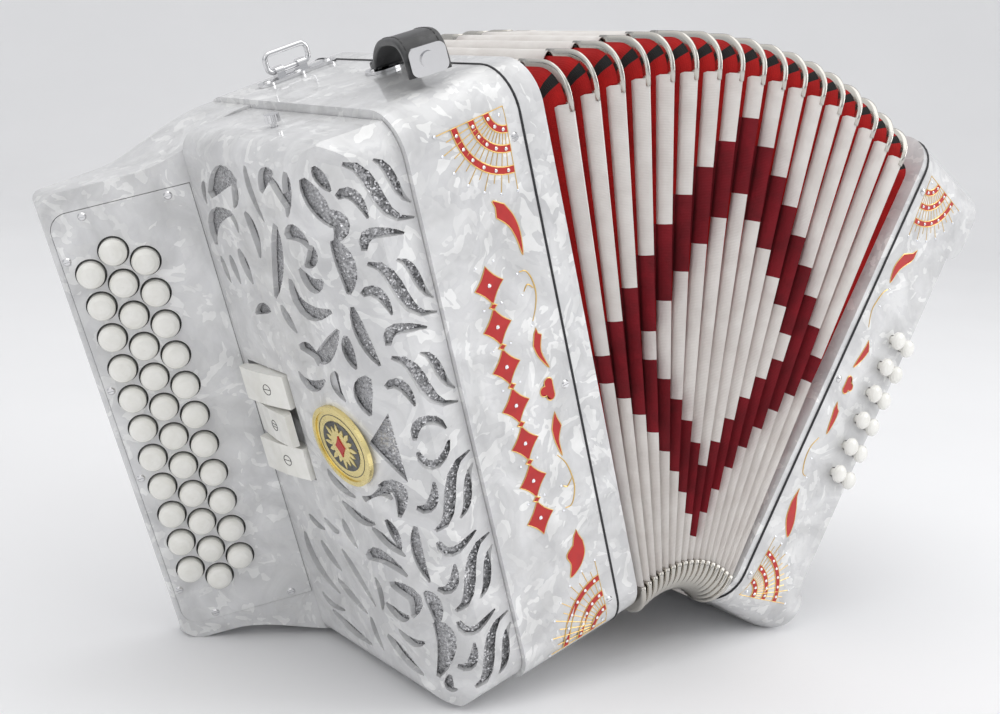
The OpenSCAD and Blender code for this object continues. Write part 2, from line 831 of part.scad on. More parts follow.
bass_button(1, 5);  // bass_b6
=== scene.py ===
import json
import math

import bpy
import numpy as np
from mathutils import Matrix, Vector

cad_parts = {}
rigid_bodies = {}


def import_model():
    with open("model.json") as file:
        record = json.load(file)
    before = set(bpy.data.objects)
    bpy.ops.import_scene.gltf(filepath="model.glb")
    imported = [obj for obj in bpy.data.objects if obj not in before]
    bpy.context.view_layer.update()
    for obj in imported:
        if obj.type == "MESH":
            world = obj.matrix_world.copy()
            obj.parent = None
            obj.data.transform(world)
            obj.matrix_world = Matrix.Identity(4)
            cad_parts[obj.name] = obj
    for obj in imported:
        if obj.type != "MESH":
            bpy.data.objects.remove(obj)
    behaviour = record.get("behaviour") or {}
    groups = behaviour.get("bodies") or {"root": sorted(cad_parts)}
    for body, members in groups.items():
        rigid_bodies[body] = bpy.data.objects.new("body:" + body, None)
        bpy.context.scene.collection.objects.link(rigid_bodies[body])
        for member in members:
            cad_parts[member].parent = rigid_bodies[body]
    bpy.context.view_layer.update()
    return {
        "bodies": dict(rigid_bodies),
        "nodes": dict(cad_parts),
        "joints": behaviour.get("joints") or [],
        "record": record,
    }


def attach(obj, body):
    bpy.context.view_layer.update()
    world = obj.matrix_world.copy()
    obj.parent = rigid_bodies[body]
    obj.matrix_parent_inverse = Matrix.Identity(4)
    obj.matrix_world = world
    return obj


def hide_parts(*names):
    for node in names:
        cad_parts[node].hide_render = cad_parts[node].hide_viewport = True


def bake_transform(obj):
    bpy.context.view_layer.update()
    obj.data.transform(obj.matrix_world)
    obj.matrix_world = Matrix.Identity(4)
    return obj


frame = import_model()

# ---------------------------------------------------------------------------
# Frame. Pieces are laid out in millimetres on the closed instrument, whose fold
# axis is the Y line through the origin, and place() turns them into the shared frame.
# ---------------------------------------------------------------------------
MM = 0.001
JOINTS = {j["name"]: j for j in frame["joints"]}
RATIOS = {c["joint"]: c["ratio"] for c in frame["record"]["behaviour"]["couplings"]}
STAND = np.array(JOINTS["bellows"]["pos_m"])
FAN = -JOINTS["bellows"]["range_deg"][0]
SHARE = RATIOS["fold_01_turn"]
FOLDS = sum(name.startswith("fold_") for name in frame["bodies"])
LEAN_AXIS = JOINTS["switch_1_rock"]["axis"]
LEAN = math.degrees(math.atan2(-LEAN_AXIS[0], LEAN_AXIS[2]))

HALF_D = 94
CASE_LOW = 4
CASE_TOP = 315
CASE_R = 22
TREBLE_IN = -49.4
TAPER = 2
FRAME_IN = 33.9
FOLD_PITCH = 3.8
FOLD_MID = (FOLDS + 1) / 2
FOLD_Z = 153
FOLD_HALF_H = 154
FOLD_R = 18
COVER_X = -157
BOARD_TURN = math.radians(27.7)
BOARD_AT = (-212, 66)


def place(points, turn=0.0):
    """Points on the closed instrument, turned about the fold axis, in metres in the shared frame."""
    p = np.asarray(points, float).reshape(-1, 3) * MM
    a = np.radians(np.asarray(turn) - LEAN)
    x = p[:, 0] * np.cos(a) + p[:, 2] * np.sin(a)
    z = p[:, 2] * np.cos(a) - p[:, 0] * np.sin(a)
    return np.stack([x, p[:, 1], z], 1) + STAND


def on_board(points):
    """(across the rows, into the board, height) points of the fingerboard, on the instrument."""
    p = np.asarray(points, float).reshape(-1, 3)
    c, s = math.cos(BOARD_TURN), math.sin(BOARD_TURN)
    x = BOARD_AT[0] + p[:, 0] * c + p[:, 1] * s
    y = BOARD_AT[1] - p[:, 0] * s + p[:, 1] * c
    return np.stack([x, y, p[:, 2]], 1)


def on_top(points, x, y):
    """Points on the sloping top of the treble case around (x, y)."""
    p = np.asarray(points, float).reshape(-1, 3)
    a = math.radians(-TAPER)
    px = x - TREBLE_IN + p[:, 0]
    pz = 0.1 + p[:, 2]
    return np.stack([
        TREBLE_IN + px * math.cos(a) + pz * math.sin(a),
        y + p[:, 1],
        CASE_TOP + pz * math.cos(a) - px * math.sin(a),
    ], 1)


# ---------------------------------------------------------------------------
# Materials
# ---------------------------------------------------------------------------
def add(mat, kind, inputs=None, **props):
    """A node with its properties and inputs set; an input that is a socket is linked."""
    node = mat.node_tree.nodes.new(kind)
    for name, value in props.items():
        setattr(node, name, value)
    for name, value in (inputs or {}).items():
        if isinstance(value, bpy.types.NodeSocket):
            mat.node_tree.links.new(value, node.inputs[name])
        else:
            node.inputs[name].default_value = value
    return node


def shader(name, color, **sockets):
    """A new Principled material; sockets are named with _ for a space."""
    mat = bpy.data.materials.new(name)
    mat.use_nodes = True
    bsdf = mat.node_tree.nodes["Principled BSDF"]
    bsdf.inputs["Base Color"].default_value = (*color, 1)
    for socket, value in sockets.items():
        bsdf.inputs[socket.replace("_", " ")].default_value = value
    return mat


def join(mat, output, socket):
    """Links an output to a socket of the material's Principled node."""
    bsdf = mat.node_tree.nodes["Principled BSDF"]
    mat.node_tree.links.new(output, bsdf.inputs[socket])


def spot(mat, uv=False):
    """Where on the object the shaded point is, or its UV, both in metres."""
    coords = add(mat, "ShaderNodeTexCoord")
    return coords.outputs["UV" if uv else "Object"]


def ramp(mat, value, *stops):
    """A colour ramp over (position, colour) stops."""
    node = add(mat, "ShaderNodeValToRGB", {"Fac": value})
    elements = node.color_ramp.elements
    while len(elements) < len(stops):
        elements.new(0.5)
    for element, (position, color) in zip(elements, stops):
        element.position = position
        element.color = (*color, 1)
    return node.outputs["Color"]


def noise(mat, at, scale, detail=3, distortion=0.0, roughness=0.5):
    return add(mat, "ShaderNodeTexNoise", {
        "Vector": at, "Scale": scale, "Detail": detail, "Distortion": distortion,
        "Roughness": roughness,
    })


def span(mat, value, low, high):
    """A 0 to 1 value stretched over low to high."""
    node = add(mat, "ShaderNodeMapRange", {"Value": value, "To Min": low, "To Max": high})
    return node.outputs["Result"]


def bump(mat, height, strength, distance):
    node = add(mat, "ShaderNodeBump", {
        "Height": height, "Strength": strength, "Distance": distance,
    })
    join(mat, node.outputs["Normal"], "Normal")


def tilted_flakes(mat, at, scale, tilt):
    """Cells whose normals lean at random, as flakes do; returns the cells' random colour."""
    cells = add(mat, "ShaderNodeTexVoronoi", {"Vector": at, "Scale": scale})
    lean = add(mat, "ShaderNodeVectorMath", {
        0: cells.outputs["Color"], 1: (0.5, 0.5, 0.5),
    }, operation="SUBTRACT")
    lean = add(mat, "ShaderNodeVectorMath", {
        0: lean.outputs[0], "Scale": tilt,
    }, operation="SCALE")
    normal = add(mat, "ShaderNodeNewGeometry").outputs["Normal"]
    total = add(mat, "ShaderNodeVectorMath", {0: normal, 1: lean.outputs[0]}, operation="ADD")
    total = add(mat, "ShaderNodeVectorMath", {0: total.outputs[0]}, operation="NORMALIZE")
    join(mat, total.outputs[0], "Normal")
    return cells.outputs["Color"]


def pearl(name, tint=(1.0, 1.0, 1.0)):
    """Mother-of-pearl celluloid: soft clouds, curled bright flakes and a clear polished coat."""
    mat = shader(name, (0.8, 0.8, 0.8), Roughness=0.32, Coat_Weight=0.75, Coat_Roughness=0.04)
    at = spot(mat)
    drift = noise(mat, at, 38, 3, 0.6)
    push = add(mat, "ShaderNodeVectorMath", {0: drift.outputs["Color"], "Scale": 0.055},
               operation="SCALE")
    bent = add(mat, "ShaderNodeVectorMath", {0: at, 1: push.outputs[0]}, operation="ADD")
    flakes = tilted_flakes(mat, bent.outputs[0], 150, 0.2)
    grey = add(mat, "ShaderNodeSeparateColor", {"Color": flakes}).outputs["Red"]
    cloud = noise(mat, at, 26, 4, 1.6, 0.55).outputs["Fac"]
    low = tuple(0.55 * t for t in tint)
    mid = tuple(0.64 * t for t in tint)
    high = tuple(0.74 * t for t in tint)
    base = ramp(mat, cloud, (0.30, low), (0.48, mid), (0.66, high))
    shine = ramp(mat, grey, (0.0, (0.93, 0.93, 0.94)), (0.76, (0.99, 0.99, 0.99)),
                 (0.93, (1.18, 1.18, 1.17)))
    mix = add(mat, "ShaderNodeMix", {0: 1.0, 6: base, 7: shine}, data_type="RGBA",
              blend_type="MULTIPLY")
    join(mat, mix.outputs[2], "Base Color")
    return mat


def woven(name, dark, light, thread=0.0008, rough=0.8, sheen=0.25, uv=True):
    """Plain woven cloth with threads of the given spacing and a faint uneven dye."""
    mat = shader(name, light, Roughness=rough, Sheen_Weight=sheen, Sheen_Roughness=0.4)
    at = spot(mat, uv)
    blotch = noise(mat, spot(mat), 70, 4, 0.4).outputs["Fac"]
    join(mat, ramp(mat, blotch, (0.3, dark), (0.7, light)), "Base Color")
    scale = 2 * math.pi / (20 * thread)
    warp = add(mat, "ShaderNodeTexWave", {"Vector": at, "Scale": scale, "Distortion": 0.3},
               bands_direction="X")
    weft = add(mat, "ShaderNodeTexWave", {"Vector": at, "Scale": scale, "Distortion": 0.3},
               bands_direction="Y")
    threads = add(mat, "ShaderNodeMath", {
        0: warp.outputs["Fac"], 1: weft.outputs["Fac"],
    }, operation="ADD")
    bump(mat, threads.outputs[0], 0.35, 0.0003)
    return mat


def metal(name, color, rough):
    """Plated metal with faint handling marks in its polish."""
    mat = shader(name, color, Metallic=1.0)
    marks = noise(mat, spot(mat), 260, 4, 0.8).outputs["Fac"]
    join(mat, span(mat, marks, rough * 0.6, rough * 1.7), "Roughness")
    bump(mat, noise(mat, spot(mat), 90, 2).outputs["Fac"], 0.04, 0.0005)
    return mat


def moulded(name, dark, light, rough=0.2, coat=0.4):
    """Polished plastic with a faint milky variation."""
    mat = shader(name, light, Coat_Weight=coat, Coat_Roughness=0.05)
    cloud = noise(mat, spot(mat), 120, 3, 0.5).outputs["Fac"]
    join(mat, ramp(mat, cloud, (0.3, dark), (0.7, light)), "Base Color")
    join(mat, span(mat, cloud, rough * 0.8, rough * 1.3), "Roughness")
    bump(mat, noise(mat, spot(mat), 700, 2).outputs["Fac"], 0.03, 0.0002)
    return mat


def hide(name, color):
    """Grained leather with a painted sheen: its colour is painted lighter on its high spots."""
    mat = shader(name, color, Roughness=0.42, Coat_Weight=0.15, Coat_Roughness=0.3)
    at = spot(mat)
    grain = add(mat, "ShaderNodeTexVoronoi", {"Vector": at, "Scale": 900},
                feature="DISTANCE_TO_EDGE")
    crease = noise(mat, at, 160, 5, 0.6).outputs["Fac"]
    height = add(mat, "ShaderNodeMath", {
        0: grain.outputs["Distance"], 1: crease,
    }, operation="ADD")
    bump(mat, height.outputs[0], 0.3, 0.0004)
    # painted sheen: the colour is lifted towards this lighter tone on the raised spots of the crease
    # noise
    painted_sheen = tuple(min(1, 2.2 * c + 0.01) for c in color)
    join(mat, ramp(mat, crease, (0.35, color), (0.75, painted_sheen)), "Base Color")
    return mat


def glitter(name):
    """Silver-grey cloth full of tiny flakes that catch the light."""
    mat = shader(name, (0.4, 0.4, 0.41), Metallic=0.75, Roughness=0.38)
    flakes = tilted_flakes(mat, spot(mat), 1250, 1.1)
    grey = add(mat, "ShaderNodeSeparateColor", {"Color": flakes}).outputs["Green"]
    tone = ramp(mat, grey, (0.0, (0.24, 0.24, 0.25)), (0.6, (0.5, 0.5, 0.51)),
                (0.88, (0.95, 0.95, 0.97)))
    join(mat, tone, "Base Color")
    return mat


def timber(name):
    """Pale reed-block wood with long rings."""
    mat = shader(name, (0.6, 0.45, 0.28), Roughness=0.55)
    at = add(mat, "ShaderNodeMapping", {"Vector": spot(mat), "Scale": (6, 6, 1)})
    rings = noise(mat, at.outputs[0], 45, 6, 1.5).outputs["Fac"]
    join(mat, ramp(mat, rings, (0.3, (0.42, 0.27, 0.14)), (0.7, (0.70, 0.52, 0.33))),
         "Base Color")
    bump(mat, rings, 0.15, 0.0005)
    return mat


PEARL = pearl("pearl_celluloid")
PEARL_PLATE = pearl("pearl_celluloid_plate", (1.02, 1.02, 1.02))
GLITTER = glitter("glitter_cloth")
CHROME = metal("chrome_plate", (0.70, 0.70, 0.71), 0.1)
NICKEL = metal("nickel_corner", (0.56, 0.54, 0.50), 0.14)
BRASS = metal("polished_brass", (0.90, 0.76, 0.36), 0.25)
GOLD = metal("gold_line", (0.80, 0.55, 0.2), 0.3)
WHITE = moulded("button_white", (0.80, 0.79, 0.74), (0.88, 0.87, 0.83))
RED = moulded("red_enamel", (0.42, 0.005, 0.005), (0.52, 0.010, 0.008), 0.4, 0.15)
INK = moulded("black_enamel", (0.008, 0.008, 0.008), (0.02, 0.02, 0.02), 0.25, 0.5)
GEM = shader("rhinestone", (0.92, 0.94, 0.97), Metallic=0.85, Roughness=0.04)
join(GEM, span(GEM, noise(GEM, spot(GEM), 900, 2).outputs["Fac"], 0.02, 0.12), "Roughness")
TAPE = woven("white_tape", (0.70, 0.66, 0.63), (0.80, 0.77, 0.74))
WINE = woven("burgundy_tape", (0.13, 0.001, 0.006), (0.22, 0.002, 0.010), rough=0.9, sheen=0)
SCARLET = woven("red_cloth", (0.32, 0.002, 0.002), (0.48, 0.005, 0.004), 0.0011, 0.9, 0)
GUSSET = woven("black_gusset", (0.004, 0.004, 0.004), (0.012, 0.011, 0.011), 0.001, 0.85, 0.0)
LEATHER = hide("black_leather", (0.018, 0.018, 0.019))
THREAD = woven("waxed_thread", (0.03, 0.03, 0.03), (0.06, 0.06, 0.06), 0.0004)
FELT = woven("black_felt", (0.006, 0.006, 0.006), (0.014, 0.014, 0.014), 0.0012, 0.95, uv=False)
SEAL = moulded("black_gasket", (0.01, 0.01, 0.012), (0.02, 0.02, 0.024), 0.45, 0.0)
WOOD = timber("reed_wood")
GREY = metal("satin_grey", (0.5, 0.5, 0.52), 0.35)

CAD_LOOKS = {
    "treble_case": PEARL, "grille_cover": PEARL, "fingerboard_plate": PEARL_PLATE,
    "treble_frame": PEARL, "bass_frame": PEARL, "bass_case": PEARL,
    "grille_cloth": GLITTER, "badge": BRASS, "treble_gasket": SEAL, "bass_gasket": SEAL,
    "treble_soundboard": WOOD, "bass_soundboard": WOOD, "treble_reeds": WOOD,
    "bass_reeds": WOOD, "bass_cover": GREY, "treble_screws": CHROME, "thumbscrew": CHROME,
    "bracket_plate": CHROME, "bail": CHROME, "strap_plate": CHROME, "strap_snap": CHROME,
}
WHITE_NODES = ("buttons", "switch", "bass_a", "bass_b", "air")
for node_name, node_object in frame["nodes"].items():
    plain = WHITE if node_name.startswith(WHITE_NODES) else TAPE
    node_object.data.materials.clear()
    node_object.data.materials.append(CAD_LOOKS.get(node_name, plain))


# ---------------------------------------------------------------------------
# Mesh helpers
# ---------------------------------------------------------------------------
def piece(name, points, faces, looks, picks=None, uv=None, crease=35):
    """A mesh object from points in metres; picks gives each face's material."""
    mesh = bpy.data.meshes.new(name)
    mesh.from_pydata([tuple(p) for p in points], [], [tuple(f) for f in faces])
    for look in looks:
        mesh.materials.append(look)
    if picks is not None:
        mesh.polygons.foreach_set("material_index", picks)
    if uv is not None:
        corners = np.zeros(len(mesh.loops), int)
        mesh.loops.foreach_get("vertex_index", corners)
        layer = mesh.uv_layers.new(name="UVMap")
        layer.data.foreach_set("uv", np.asarray(uv, np.float32)[corners].ravel())
    mesh.shade_smooth()
    mesh.set_sharp_from_angle(angle=math.radians(crease))
    obj = bpy.data.objects.new(name, mesh)
    bpy.context.scene.collection.objects.link(obj)
    return obj


def thicken(obj, amount):
    """Gives a sheet its thickness, inwards from the modelled face."""
    modifier = obj.modifiers.new("thickness", "SOLIDIFY")
    modifier.thickness = amount * MM
    modifier.offset = -1.0


def grid(rows, columns, loop=False):
    """Quads of a grid of points, row by row; loop closes each row on itself."""
    last = columns if loop else columns - 1
    return [
        (r * columns + c, r * columns + (c + 1) % columns,
         (r + 1) * columns + (c + 1) % columns, (r + 1) * columns + c)
        for r in range(rows - 1) for c in range(last)
    ]


class Parts:
    """Gathers several small shapes, with a material number each, into one mesh."""

    def __init__(self):
        self.points, self.faces, self.picks = [], [], []

    def put(self, points, faces, pick=0):
        start = len(self.points)
        self.points.extend(np.asarray(points, float).reshape(-1, 3))
        self.faces.extend(tuple(start + i for i in f) for f in faces)
        self.picks.extend([pick] * len(faces))

    def make(self, name, looks, turn=0.0, crease=35):
        return piece(name, place(self.points, turn), self.faces, looks, self.picks,
                     crease=crease)


def slab(outline, low, high, lift):
    """A flat shape with upright sides; lift turns (u, v, height) rows into points."""
    n = len(outline)
    flat = [(u, v, low) for u, v in outline] + [(u, v, high) for u, v in outline]
    sides = [(i, (i + 1) % n, n + (i + 1) % n, n + i) for i in range(n)]
    return lift(np.array(flat, float)), sides + [tuple(range(n, 2 * n))]


def tube(path, radius, sides=8, loop=False):
    """A round wire along points; radius is one number or one for each point."""
    path = np.asarray(path, float)
    n = len(path)
    radii = np.broadcast_to(np.asarray(radius, float), n)
    rings = []
    normal = None
    for i in range(n):
        back = path[i - 1] if loop or i > 0 else path[i]
        ahead = path[(i + 1) % n] if loop or i < n - 1 else path[i]
        along = (ahead - back) / np.linalg.norm(ahead - back)
        if normal is None:
            normal = np.array([0.0, 1.0, 0.0] if abs(along[1]) < 0.9 else [1.0, 0.0, 0.0])
        normal = normal - along * np.dot(normal, along)
        normal = normal / np.linalg.norm(normal)
        side = np.cross(along, normal)
        for k in range(sides):
            a = 2 * math.pi * k / sides
            rings.append(path[i] + radii[i] * (math.cos(a) * normal + math.sin(a) * side))
    faces = grid(n, sides, loop=True)
    if loop:
        faces += [((n - 1) * sides + k, (n - 1) * sides + (k + 1) % sides, (k + 1) % sides, k)
                  for k in range(sides)]
    else:
        faces += [tuple(range(sides)), tuple(range((n - 1) * sides, n * sides))]
    return rings, faces


def arc(cx, cy, r, start, end, steps):
    """Points on an arc, its angles in degrees."""
    return [(cx + r * math.cos(math.radians(a)), cy + r * math.sin(math.radians(a)))
            for a in np.linspace(start, end, steps)]


def smooth_line(points, steps, loop=False):
    """Catmull-Rom curve through given points."""
    p = [np.asarray(q, float) for q in points]
    n = len(p)
    out = []
    for i in range(n if loop else n - 1):
        a = p[i - 1] if loop or i > 0 else p[i]
        b, c = p[i], p[(i + 1) % n]
        d = p[(i + 2) % n] if loop or i + 2 < n else c
        for k in range(steps):
            t = k / steps
            out.append(0.5 * (2 * b + (c - a) * t + (2 * a - 5 * b + 4 * c - d) * t ** 2
                              + (3 * b - a - 3 * c + d) * t ** 3))
    if not loop:
        out.append(p[-1])
    return out


def front(rows):
    """(x, z, height) rows on the front faces and their rounded ends, standing out towards -Y."""
    over = np.maximum(CASE_LOW + CASE_R - rows[:, 1], rows[:, 1] - CASE_TOP + CASE_R)
    over = np.clip(over, 0, CASE_R - 1)
    back = CASE_R - np.sqrt(CASE_R ** 2 - over ** 2)
    return np.stack([rows[:, 0], back - HALF_D - rows[:, 2], rows[:, 1]], 1)


# ---------------------------------------------------------------------------
# Bellows: each fold's ring is a path of stations, and a station gives a point at any
# depth inside the outer edge. Points keep the share of the fan that they turn with.
# ---------------------------------------------------------------------------
def ring_point(station, depth):
    """(y, z) of a station, depth millimetres inside the fold's outer edge."""
    kind, side, value = station
    half_y, half_z = HALF_D - depth, FOLD_HALF_H - depth
    r = max(FOLD_R - 0.6 * depth, 6)
    if kind == "corner":
        a = math.radians(value)
        return (side[0] * (half_y - r) + r * math.cos(a),
                FOLD_Z + side[1] * (half_z - r) + r * math.sin(a))
    if kind == "upright":
        return side * half_y, FOLD_Z + min(max(value, r - half_z), half_z - r)
    return min(max(value, r - half_y), half_y - r), FOLD_Z + side * half_z


def corner_stations(side, start, end, steps=8):
    return [("corner", side, a) for a in np.linspace(start, end, steps + 1)]


STRAIGHT_Z = FOLD_HALF_H - FOLD_R
STRAIGHT_Y = HALF_D - FOLD_R
TAPE_LOW = 11.4 - FOLD_Z
TAPE_HIGH = 286.9 - FOLD_Z
TAPE_SPAN = TAPE_HIGH - TAPE_LOW
BAND_REACH = 0.42
BAND_STEP = 0.049
BAND_WIDTH = 0.147


def band_shares(i):
    """Where fold i's burgundy ends and starts, away from the tape's middle, in tape lengths."""
    outer = BAND_REACH - BAND_STEP * abs(i - FOLD_MID)
    return outer, outer - BAND_WIDTH


def band_edges(i):
    """Heights where fold i changes between white and burgundy, from the hollow diamond."""
    shares = [s for s in band_shares(i) if s > 0]
    return [TAPE_LOW + TAPE_SPAN * (0.5 + sign * s) for s in shares for sign in (-1, 1)]


def in_band(i, z):
    if not 1 <= i <= FOLDS:
        return False
    outer, inner = band_shares(i)
    return inner < abs((z - TAPE_LOW) / TAPE_SPAN - 0.5) < outer


def front_heights(*fold_numbers):
    """Station heights up the front, with one at each colour change of the folds."""
    edges = [z for i in fold_numbers if 1 <= i <= FOLDS for z in band_edges(i)]
    return sorted(set(np.round(list(np.linspace(-STRAIGHT_Z, STRAIGHT_Z, 28)) + edges, 3)))


def ring_stations(*fold_numbers):
    """The whole ring: up the front, over the top, down the back, under the bottom."""
    tops = np.linspace(-STRAIGHT_Y, STRAIGHT_Y, 9)
    backs = np.linspace(STRAIGHT_Z, -STRAIGHT_Z, 12)
    return (
        [("upright", -1, z) for z in front_heights(*fold_numbers)]
        + corner_stations((-1, 1), 180, 90)[1:-1]
        + [("level", 1, y) for y in tops]
        + corner_stations((1, 1), 90, 0)[1:-1]
        + [("upright", 1, z) for z in backs]
        + corner_stations((1, -1), 0, -90)[1:-1]
        + [("level", -1, y) for y in tops[::-1]]
        + corner_stations((-1, -1), -90, -180)[1:-1]
    )


def swept(stations, section, fold):
    """Points, fan shares and UVs of a section swept along stations on one fold."""
    points, shares, uv = [], [], []
    travel = 0.0
    before = None
    for station in stations:
        here = np.array(ring_point(station, 0))
        if before is not None:
            travel += np.linalg.norm(here - before)
        before = here
        across = 0.0
        for k, (x, share, depth) in enumerate(section):
            y, z = ring_point(station, depth)
            points.append((FOLD_PITCH * (fold - FOLD_MID) + x, y, z))
            shares.append(SHARE * (fold + share))
            if k:
                across += math.hypot(x - section[k - 1][0], depth - section[k - 1][2]) + 2
            uv.append((across * MM, travel * MM))
    return np.array(points), np.array(shares), uv


def bend(obj):
    """Bakes the piece's transform into its mesh; its points were already turned with their own
    shares of the fan when placed.
    """
    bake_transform(obj)


# Sections across a fold, as (along the bellows, share of the fan, depth) points.
NOSE = [(-1.6, -0.28, 7.4), (-1.45, -0.25, 5.2), (-1.1, -0.18, 3.0), (-0.5, -0.075, 1.2),
        (0, 0, 0), (0.5, 0.075, 1.2), (1.1, 0.18, 3.0), (1.45, 0.25, 5.2), (1.6, 0.28, 7.4)]
WIDE_NOSE = [(-1.8, -0.42, 13), (-1.6, -0.33, 7), (-1.2, -0.22, 2.6), (-0.7, -0.10, 0.6),
             (0, 0, 0), (0.7, 0.10, 0.6), (1.2, 0.22, 2.6), (1.6, 0.33, 7), (1.8, 0.42, 13)]
CAP = [(-1.6, 0, 9.4), (-1.6, 0, 5), (-1.55, 0, 1.6), (-1.1, 0, 0.2), (-0.5, 0, -0.35),
       (0, 0, -0.5), (0.5, 0, -0.35), (1.1, 0, 0.2), (1.55, 0, 1.6), (1.6, 0, 5), (1.6, 0, 9.4)]
VALLEY_LEFT = [(0, 0, 1.0), (1.55, 0.26, 6.9), (1.85, 0.46, 17), (1.9, 0.5, 20)]
VALLEY_RIGHT = [(-1.85, -0.46, 17), (-1.55, -0.26, 6.9), (0, 0, 1.0)]
CAP_LEG = 15
FRONT_SKIN = 7


def fold_tapes(i):
    """Cloth tape over fold i's edge: front and back strips, and wider strips above and below."""
    heights = [z for z in front_heights(i) if z < TAPE_HIGH] + [TAPE_HIGH]
    low = math.degrees(math.asin((TAPE_LOW + STRAIGHT_Z) / FOLD_R))
    runs = [
        (corner_stations((-1, -1), -180 - low, -180, 3)[:-1]
         + [("upright", -1, z) for z in heights], NOSE),
        ([("upright", 1, z) for z in np.linspace(TAPE_HIGH, -STRAIGHT_Z, 16)], NOSE),
        ([("level", 1, y) for y in np.linspace(CAP_LEG - STRAIGHT_Y, STRAIGHT_Y - CAP_LEG, 10)],
         WIDE_NOSE),
        ([("level", -1, y) for y in np.linspace(STRAIGHT_Y - 4, 4 - STRAIGHT_Y, 10)], NOSE),
    ]
    points, shares, uvs, faces, picks = [], [], [], [], []
    for stations, section in runs:
        p, w, uv = swept(stations, section, i)
        start = len(points)
        points.extend(p)
        shares.extend(w)
        uvs.extend(uv)
        for face in grid(len(stations), len(section)):
            faces.append(tuple(start + k for k in face))
            middle = np.mean([p[k] for k in face], axis=0)
            on_front = middle[1] < FRONT_SKIN - HALF_D
            picks.append(1 if on_front and in_band(i, middle[2] - FOLD_Z) else 0)
    obj = piece(f"fold_tape_{i:02d}", place(points, FAN * np.array(shares)), faces,
                [TAPE, WINE], picks, uvs, crease=38)
    thicken(obj, 0.45)
    bend(obj)
    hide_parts(f"fold_{i:02d}")


def fold_caps(i):
    """Nickel channels over fold i's four corners."""
    top = TAPE_HIGH - 4
    runs = [
        [("upright", -1, top), ("upright", -1, STRAIGHT_Z)]
        + corner_stations((-1, 1), 180, 90, 10)[1:]
        + [("level", 1, y) for y in (-STRAIGHT_Y + 5, -STRAIGHT_Y + 10, CAP_LEG - STRAIGHT_Y + 2)],
        [("level", 1, y) for y in (STRAIGHT_Y - CAP_LEG - 2, STRAIGHT_Y - 8)]
        + corner_stations((1, 1), 90, 0, 10) + [("upright", 1, top)],
        [("upright", 1, 3 - STRAIGHT_Z)] + corner_stations((1, -1), 0, -90, 10)
        + [("level", -1, STRAIGHT_Y - 6)],
        [("level", -1, 6 - STRAIGHT_Y)] + corner_stations((-1, -1), -90, -180, 10)
        + [("upright", -1, 3 - STRAIGHT_Z)],
    ]
    points, faces = [], []
    for stations in runs:
        p, _, _ = swept(stations, CAP, i)
        start = len(points)
        points.extend(p)
        faces.extend(tuple(start + k for k in face) for face in grid(len(stations), len(CAP)))
    obj = piece(f"fold_caps_{i:02d}", place(points, FAN * SHARE * i), faces, [NICKEL], crease=50)
    thicken(obj, 0.35)
    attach(obj, f"fold_{i:02d}")


def bellows_cloth():
    """Cloth of the valleys between the folds, red with black corner gussets."""
    points, shares, uvs, faces, picks = [], [], [], [], []
    edge = FRAME_IN - FOLD_PITCH * (FOLDS - FOLD_MID)
    rest = 1 / SHARE - FOLDS
    at_treble = [(FOLD_PITCH - edge, 0, 9), (FOLD_PITCH - 3.2, 0.12, 14), (1.5, 0.42, 20)]
    at_bass = [(-0.5, rest - 1.42, 20), (edge - FOLD_PITCH - 0.6, rest - 1.12, 14),
               (edge - FOLD_PITCH, rest - 1, 9)]
    for gap in range(FOLDS + 1):
        stations = ring_stations(gap, gap + 1)
        near = at_treble if gap == 0 else VALLEY_LEFT
        far = at_bass if gap == FOLDS else VALLEY_RIGHT
        p1, w1, uv1 = swept(stations, near, gap)
        p2, w2, uv2 = swept(stations, far, gap + 1)
        n1, n2 = len(near), len(far)
        width = n1 + n2
        start = len(points)
        offset = uv1[n1 - 1][0] + 0.003
        for s in range(len(stations)):
            points.extend(p1[s * n1:(s + 1) * n1])
            points.extend(p2[s * n2:(s + 1) * n2])
            shares.extend(w1[s * n1:(s + 1) * n1])
            shares.extend(w2[s * n2:(s + 1) * n2])
            uvs.extend(uv1[s * n1:(s + 1) * n1])
            uvs.extend((u + offset, v) for u, v in uv2[s * n2:(s + 1) * n2])
        count = len(stations)
        for s in range(count):
            after = (s + 1) % count
            kinds = (stations[s], stations[after])
            for c in range(width - 1):
                faces.append((start + s * width + c, start + s * width + c + 1,
                              start + after * width + c + 1, start + after * width + c))
                picks.append(cloth_pick(kinds, gap + (c >= n1 - 1)))
    obj = piece("bellows_cloth", place(points, FAN * np.array(shares)), faces,
                [SCARLET, WINE, GUSSET], picks, uvs, crease=25)
    thicken(obj, 0.3)
    bend(obj)
    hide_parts("lining")


GUSSET_HALF = 10


def cloth_pick(kinds, fold):
    """Black in the middle of each corner, burgundy beside the diamond's bands, else red."""
    corners = [k for k in kinds if k[0] == "corner"]
    if len(corners) == 2:
        middle = sum(k[2] for k in corners) / 2
        return 2 if abs((middle % 90) - 45) < GUSSET_HALF else 0
    if all(k[0] == "upright" and k[1] == -1 for k in kinds):
        if in_band(fold, (kinds[0][2] + kinds[1][2]) / 2):
            return 1
    return 0


for fold_number in range(1, FOLDS + 1):
    fold_tapes(fold_number)
    fold_caps(fold_number)
bellows_cloth()


# ---------------------------------------------------------------------------
# Inlays on the two front faces
# ---------------------------------------------------------------------------
INLAY_RED, INLAY_GOLD, INLAY_GEM = range(3)
INLAY_LOOKS = [RED, GOLD, GEM]
LINE = 0.32
RAISED = 0.3


def outlined(parts, outline):
    """A raised red shape with a gold line round its edge."""
    parts.put(*slab(outline, -0.1, RAISED, front), INLAY_RED)
    edge = front(np.array([(x, z, 0.12) for x, z in outline], float))
    parts.put(*tube(edge, LINE, 6, loop=True), INLAY_GOLD)


